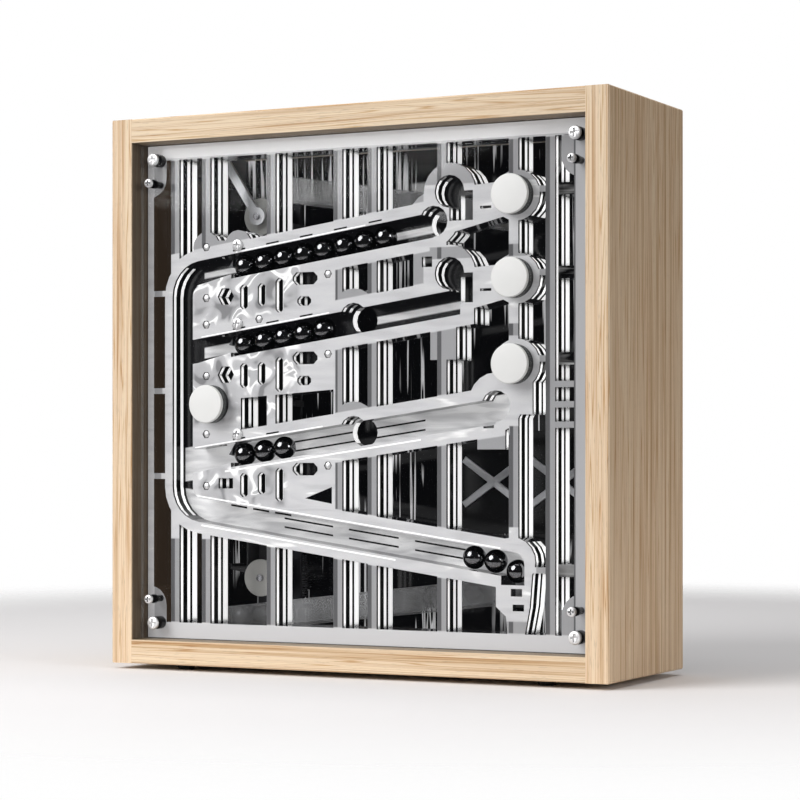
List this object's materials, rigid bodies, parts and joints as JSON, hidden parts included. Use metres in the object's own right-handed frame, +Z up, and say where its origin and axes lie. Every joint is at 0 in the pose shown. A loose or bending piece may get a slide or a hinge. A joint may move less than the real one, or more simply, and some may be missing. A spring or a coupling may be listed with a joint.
{
  "type": "rolling ball clock",
  "caption": "Rolling ball clock: steel balls roll down the sloping tracks of a cut acrylic lattice in a light wooden box, and a belt at the back lifts them again.",
  "frame": {"origin": "middle of the case's footprint, on the plane of the rubber feet", "axes": "+Z up, +X to the right as seen from the front, +Y from the front to the back"},
  "size_m": [0.297, 0.104, 0.303],
  "materials": {
    "light_wood": "clear matt lacquer",
    "corner_wood": "bare",
    "back_sheet": "gloss",
    "cover_acrylic": "clear",
    "front_acrylic": "clear, polished edges",
    "black_acrylic": "gloss",
    "rear_acrylic": "gloss",
    "ramp_acrylic": "clear",
    "ball_steel": "mirror polished",
    "screw_steel": "bright plated",
    "black_nylon": "moulded",
    "button_black": "gloss",
    "button_white": "satin",
    "gate_plastic": "satin",
    "pulley_plastic": "satin",
    "shaft_steel": "ground",
    "belt_rubber": "matt",
    "bracket_metal": "satin",
    "arm_metal": "satin",
    "motor_metal": "brushed",
    "box_black": "satin",
    "circuit_board": "solder mask",
    "inlet_plastic": "moulded",
    "foot_rubber": "matt"
  },
  "bodies": {
    "case": {"arm_standoff": "arm_metal", "back_panel": "back_sheet", "back_screws": "screw_steel", "board_spacers": "black_nylon", "bottom_board": "light_wood", "button_bushes": "black_nylon", "channel_plate": "black_acrylic", "control_board": "circuit_board", "control_box": "box_black", "corner_posts": "corner_wood", "cover_screws": "screw_steel", "cover_spacers": "black_nylon", "cross_braces": "arm_metal", "dowel_pins": "screw_steel", "front_cover": "cover_acrylic", "front_plate": "front_acrylic", "gate_screws": "screw_steel", "left_board": "light_wood", "lift_belt": "belt_rubber", "lift_bracket": "bracket_metal", "lift_motor": "motor_metal", "low_ramp": "ramp_acrylic", "power_inlet": "inlet_plastic", "rear_plate": "rear_acrylic", "right_board": "light_wood", "rubber_feet": "foot_rubber", "stack_studs": "screw_steel", "tension_arm": "arm_metal", "top_axle": "shaft_steel", "top_board": "light_wood", "top_ramp": "ramp_acrylic", "waiting_balls": "ball_steel"},
    "minutes_push_button": {"minutes_button": "button_black", "minutes_button_cap": "button_white"},
    "tens_push_button": {"tens_button": "button_black", "tens_button_cap": "button_white"},
    "hours_push_button": {"hours_button": "button_black", "hours_button_cap": "button_white"},
    "release_push_button": {"release_button": "button_black", "release_button_cap": "button_white"},
    "minutes_gate_lever": {"minutes_gate": "gate_plastic"},
    "minutes_row": {"minutes_balls": "ball_steel"},
    "tens_gate_lever": {"tens_gate": "gate_plastic"},
    "tens_row": {"tens_balls": "ball_steel"},
    "hours_gate_lever": {"hours_gate": "gate_plastic"},
    "hours_row": {"hours_balls": "ball_steel"},
    "feed_row": {"feed_balls": "ball_steel"},
    "falling_ball": {"drop_ball": "ball_steel"},
    "drive_pulley": {"low_pulley": "pulley_plastic", "drive_shaft": "shaft_steel"},
    "idler_pulley": {"top_pulley": "pulley_plastic"}
  },
  "joints": [
    {"name": "minutes_press", "type": "slide", "parent": "case", "child": "minutes_push_button", "axis": [0, 1, 0], "range_m": [0, 0.003], "stiffness_N_per_m": 150, "springref_m": -0.002},
    {"name": "tens_press", "type": "slide", "parent": "case", "child": "tens_push_button", "axis": [0, 1, 0], "range_m": [0, 0.003], "stiffness_N_per_m": 150, "springref_m": -0.002},
    {"name": "hours_press", "type": "slide", "parent": "case", "child": "hours_push_button", "axis": [0, 1, 0], "range_m": [0, 0.003], "stiffness_N_per_m": 150, "springref_m": -0.002},
    {"name": "release_press", "type": "slide", "parent": "case", "child": "release_push_button", "axis": [0, 1, 0], "range_m": [0, 0.003], "stiffness_N_per_m": 150, "springref_m": -0.002},
    {"name": "minutes_gate_swing", "type": "hinge", "parent": "case", "child": "minutes_gate_lever", "pos_m": [-0.0767, -0.02725, 0.23239], "axis": [0, 1, 0], "range_deg": [0, 45]},
    {"name": "minutes_row_roll", "type": "slide", "parent": "case", "child": "minutes_row", "axis": [0.9903, 0, 0.1392], "range_m": [0, 0.0125]},
    {"name": "tens_gate_swing", "type": "hinge", "parent": "case", "child": "tens_gate_lever", "pos_m": [-0.0769, -0.02725, 0.18949], "axis": [0, 1, 0], "range_deg": [0, 45]},
    {"name": "tens_row_roll", "type": "slide", "parent": "case", "child": "tens_row", "axis": [0.9903, 0, 0.1392], "range_m": [0, 0.0125]},
    {"name": "hours_gate_swing", "type": "hinge", "parent": "case", "child": "hours_gate_lever", "pos_m": [-0.0769, -0.02725, 0.12919], "axis": [0, 1, 0], "range_deg": [0, 45]},
    {"name": "hours_row_roll", "type": "slide", "parent": "case", "child": "hours_row", "axis": [0.9903, 0, 0.1392], "range_m": [0, 0.0125]},
    {"name": "feed_row_roll", "type": "slide", "parent": "case", "child": "feed_row", "axis": [-0.9903, 0, 0.1392], "range_m": [0, 0.0125]},
    {"name": "ball_drop", "type": "slide", "parent": "case", "child": "falling_ball", "axis": [0, 0.7071, -0.7071], "range_m": [0, 0.0119]},
    {"name": "drive_pulley_spin", "type": "hinge", "parent": "case", "child": "drive_pulley", "pos_m": [-0.084, 0.008, 0.049], "axis": [0, 1, 0], "continuous": true},
    {"name": "idler_pulley_spin", "type": "hinge", "parent": "case", "child": "idler_pulley", "pos_m": [-0.084, 0.008, 0.2515], "axis": [0, 1, 0], "continuous": true}
  ],
  "couplings": [
    {"joint": "idler_pulley_spin", "follows": "drive_pulley_spin", "ratio": 1}
  ]
}
